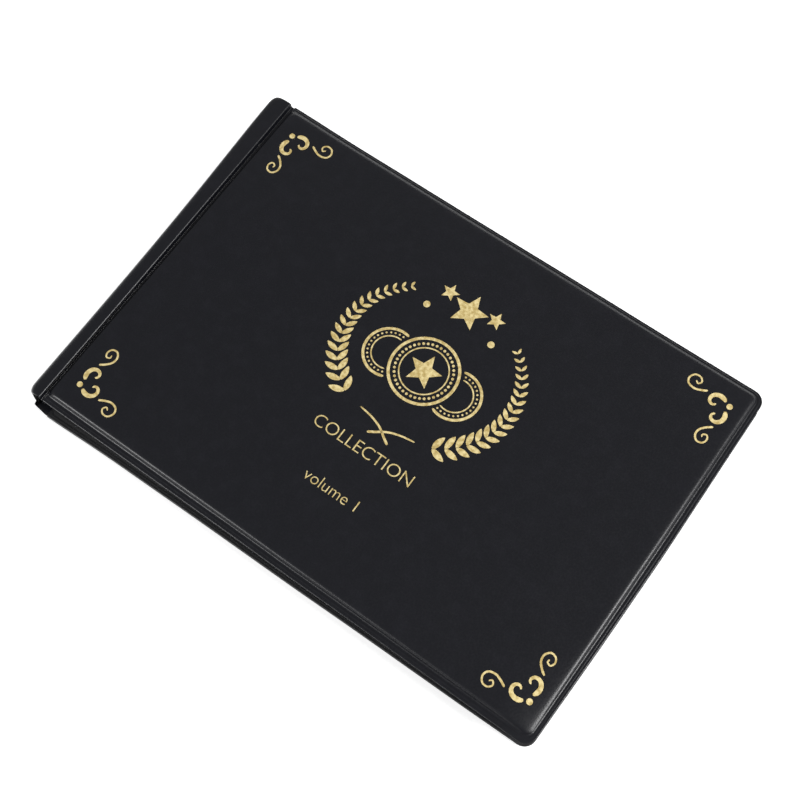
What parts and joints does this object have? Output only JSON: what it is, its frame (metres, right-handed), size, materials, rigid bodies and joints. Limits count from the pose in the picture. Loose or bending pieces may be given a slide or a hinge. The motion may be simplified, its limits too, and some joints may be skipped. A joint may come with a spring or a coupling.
{
  "type": "coin album",
  "caption": "Landscape album with padded leatherette covers, a soft spine and clear pocket sheets that turn on a post binding.",
  "frame": {"origin": "centre of the closed album's bounding box on the surface it lies on", "axes": "+X from the spine to the fore-edge, +Y from the tail to the head, +Z from the back cover up to the front cover"},
  "size_m": [0.2558, 0.176, 0.0179],
  "materials": {
    "leatherette": "black fine-grained leatherette, satin",
    "liner_vinyl": "black vinyl, matt",
    "greyboard": "uncoated greyboard",
    "clear_film": "clear soft vinyl film",
    "post_metal": "plated screw post",
    "gold_foil": "hot-stamped gold foil, satin"
  },
  "bodies": {
    "back_cover": {"back_outer_skin": "leatherette", "back_board": "greyboard", "back_liner": "liner_vinyl"},
    "spine": {"spine_outer_skin": "leatherette", "spine_card": "greyboard", "spine_liner": "liner_vinyl", "page_01_binding_margin": "clear_film", "page_02_binding_margin": "clear_film", "page_03_binding_margin": "clear_film", "page_04_binding_margin": "clear_film", "page_05_binding_margin": "clear_film", "page_06_binding_margin": "clear_film", "page_07_binding_margin": "clear_film", "page_08_binding_margin": "clear_film", "page_09_binding_margin": "clear_film", "page_10_binding_margin": "clear_film", "page_11_binding_margin": "clear_film", "page_12_binding_margin": "clear_film", "binding_post_1": "post_metal", "binding_post_2": "post_metal", "binding_post_3": "post_metal", "binding_screw_1": "post_metal", "binding_screw_2": "post_metal", "binding_screw_3": "post_metal"},
    "front_cover": {"front_outer_skin": "leatherette", "front_board": "greyboard", "front_liner": "liner_vinyl"},
    "page_01": {"page_01_back_film": "clear_film", "page_01_front_film": "clear_film"},
    "page_02": {"page_02_back_film": "clear_film", "page_02_front_film": "clear_film"},
    "page_03": {"page_03_back_film": "clear_film", "page_03_front_film": "clear_film"},
    "page_04": {"page_04_back_film": "clear_film", "page_04_front_film": "clear_film"},
    "page_05": {"page_05_back_film": "clear_film", "page_05_front_film": "clear_film"},
    "page_06": {"page_06_back_film": "clear_film", "page_06_front_film": "clear_film"},
    "page_07": {"page_07_back_film": "clear_film", "page_07_front_film": "clear_film"},
    "page_08": {"page_08_back_film": "clear_film", "page_08_front_film": "clear_film"},
    "page_09": {"page_09_back_film": "clear_film", "page_09_front_film": "clear_film"},
    "page_10": {"page_10_back_film": "clear_film", "page_10_front_film": "clear_film"},
    "page_11": {"page_11_back_film": "clear_film", "page_11_front_film": "clear_film"},
    "page_12": {"page_12_back_film": "clear_film", "page_12_front_film": "clear_film"}
  },
  "joints": [
    {"name": "front_cover_hinge", "type": "hinge", "parent": "spine", "child": "front_cover", "pos_m": [-0.1186, 0, 0.018], "axis": [0, -1, 0], "range_deg": [0, 176]},
    {"name": "spine_hinge", "type": "hinge", "parent": "back_cover", "child": "spine", "pos_m": [-0.1277, 0, 0.0005], "axis": [0, -1, 0], "range_deg": [0, 8]},
    {"name": "page_01_hinge", "type": "hinge", "parent": "spine", "child": "page_01", "pos_m": [-0.1171, 0, 0.0193], "axis": [0, -1, 0], "range_deg": [-8, 176]},
    {"name": "page_02_hinge", "type": "hinge", "parent": "spine", "child": "page_02", "pos_m": [-0.1171, 0, 0.0193], "axis": [0, -1, 0], "range_deg": [-8, 176]},
    {"name": "page_03_hinge", "type": "hinge", "parent": "spine", "child": "page_03", "pos_m": [-0.1171, 0, 0.0193], "axis": [0, -1, 0], "range_deg": [-8, 176]},
    {"name": "page_04_hinge", "type": "hinge", "parent": "spine", "child": "page_04", "pos_m": [-0.1171, 0, 0.0193], "axis": [0, -1, 0], "range_deg": [-8, 176]},
    {"name": "page_05_hinge", "type": "hinge", "parent": "spine", "child": "page_05", "pos_m": [-0.1171, 0, 0.0193], "axis": [0, -1, 0], "range_deg": [-8, 176]},
    {"name": "page_06_hinge", "type": "hinge", "parent": "spine", "child": "page_06", "pos_m": [-0.1171, 0, 0.0193], "axis": [0, -1, 0], "range_deg": [-8, 176]},
    {"name": "page_07_hinge", "type": "hinge", "parent": "spine", "child": "page_07", "pos_m": [-0.1171, 0, 0.0193], "axis": [0, -1, 0], "range_deg": [-8, 176]},
    {"name": "page_08_hinge", "type": "hinge", "parent": "spine", "child": "page_08", "pos_m": [-0.1171, 0, 0.0193], "axis": [0, -1, 0], "range_deg": [-8, 176]},
    {"name": "page_09_hinge", "type": "hinge", "parent": "spine", "child": "page_09", "pos_m": [-0.1171, 0, 0.0193], "axis": [0, -1, 0], "range_deg": [-8, 176]},
    {"name": "page_10_hinge", "type": "hinge", "parent": "spine", "child": "page_10", "pos_m": [-0.1171, 0, 0.0193], "axis": [0, -1, 0], "range_deg": [-8, 176]},
    {"name": "page_11_hinge", "type": "hinge", "parent": "spine", "child": "page_11", "pos_m": [-0.1171, 0, 0.0193], "axis": [0, -1, 0], "range_deg": [-8, 176]},
    {"name": "page_12_hinge", "type": "hinge", "parent": "spine", "child": "page_12", "pos_m": [-0.1171, 0, 0.0193], "axis": [0, -1, 0], "range_deg": [-8, 176]}
  ],
  "couplings": [
    {"joint": "spine_hinge", "follows": "front_cover_hinge", "ratio": 0.045449},
    {"joint": "page_01_hinge", "follows": "front_cover_hinge", "ratio": 0.99886},
    {"joint": "page_02_hinge", "follows": "front_cover_hinge", "ratio": 0.99545},
    {"joint": "page_03_hinge", "follows": "front_cover_hinge", "ratio": 0.99091},
    {"joint": "page_04_hinge", "follows": "front_cover_hinge", "ratio": 0.98409},
    {"joint": "page_05_hinge", "follows": "front_cover_hinge", "ratio": 0.97159},
    {"joint": "page_06_hinge", "follows": "front_cover_hinge", "ratio": 0.94318},
    {"joint": "page_07_hinge", "follows": "front_cover_hinge", "ratio": -0.005682},
    {"joint": "page_08_hinge", "follows": "front_cover_hinge", "ratio": -0.028409},
    {"joint": "page_09_hinge", "follows": "front_cover_hinge", "ratio": -0.035227},
    {"joint": "page_10_hinge", "follows": "front_cover_hinge", "ratio": -0.039773},
    {"joint": "page_11_hinge", "follows": "front_cover_hinge", "ratio": -0.042614},
    {"joint": "page_12_hinge", "follows": "front_cover_hinge", "ratio": -0.044318}
  ]
}
